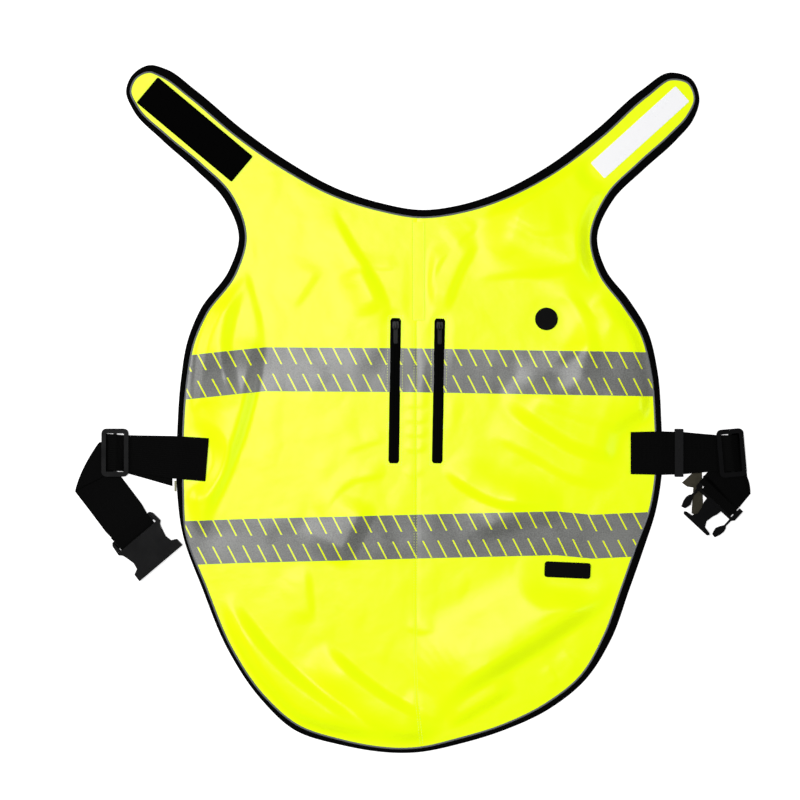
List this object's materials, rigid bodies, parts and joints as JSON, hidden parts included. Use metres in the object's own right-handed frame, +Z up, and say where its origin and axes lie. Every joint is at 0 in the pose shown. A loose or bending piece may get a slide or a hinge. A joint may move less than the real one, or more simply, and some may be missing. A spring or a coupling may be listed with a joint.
{
  "type": "dog safety vest",
  "caption": "Fluorescent yellow dog safety vest with reflective bands, black binding and a belly belt with a side-release buckle, laid flat.",
  "frame": {"origin": "on the surface that the vest lies on, under the middle of its bounding box", "axes": "+Z up, away from the surface; +Y towards the neck; +X to the plug's side of the belt"},
  "size_m": [0.7688, 0.784, 0.009],
  "materials": {
    "yellow_cloth": "fluorescent coated polyester, satin",
    "reflective": "silver grey retroreflective tape, glass bead sparkle",
    "black_trim": "matt",
    "bright_film": "near white film, satin",
    "care_tag": "matt",
    "webbing": "matt woven",
    "acetal": "satin moulding",
    "zip_tape": "matt woven",
    "slider_metal": "semi-gloss"
  },
  "bodies": {
    "vest": {"panel_left": "yellow_cloth", "panel_right": "yellow_cloth", "neck_placket": "yellow_cloth", "tape_upper_left": "reflective", "tape_upper_middle_left": "reflective", "tape_upper_middle_right": "reflective", "tape_upper_right": "reflective", "tape_lower_left": "reflective", "tape_lower_right": "reflective", "piping_left": "reflective", "piping_right": "reflective", "binding_left": "black_trim", "binding_right": "black_trim", "hook_patch": "black_trim", "badge": "black_trim", "label": "black_trim", "bright_strip": "bright_film", "side_tag": "care_tag", "strap_left": "webbing", "strap_left_end": "webbing", "strap_left_tail": "webbing", "strap_right": "webbing", "strap_right_end": "webbing", "strap_right_tail": "webbing", "keeper": "webbing", "glide_left": "acetal", "glide_right": "acetal", "buckle_socket": "acetal", "buckle_plug": "acetal", "zip_left": "zip_tape", "zip_right": "zip_tape", "zip_slider_left": "slider_metal", "zip_slider_right": "slider_metal"},
    "pull_left": {"zip_pull_left": "slider_metal"},
    "pull_right": {"zip_pull_right": "slider_metal"}
  },
  "joints": [
    {"name": "zip_pull_left_swing", "type": "hinge", "parent": "vest", "child": "pull_left", "pos_m": [-0.01921, 0.0957, 0.00435], "axis": [-1, 0, 0], "range_deg": [0, 160]},
    {"name": "zip_pull_right_swing", "type": "hinge", "parent": "vest", "child": "pull_right", "pos_m": [0.03105, 0.0951, 0.00435], "axis": [-1, 0, 0], "range_deg": [0, 160]}
  ]
}
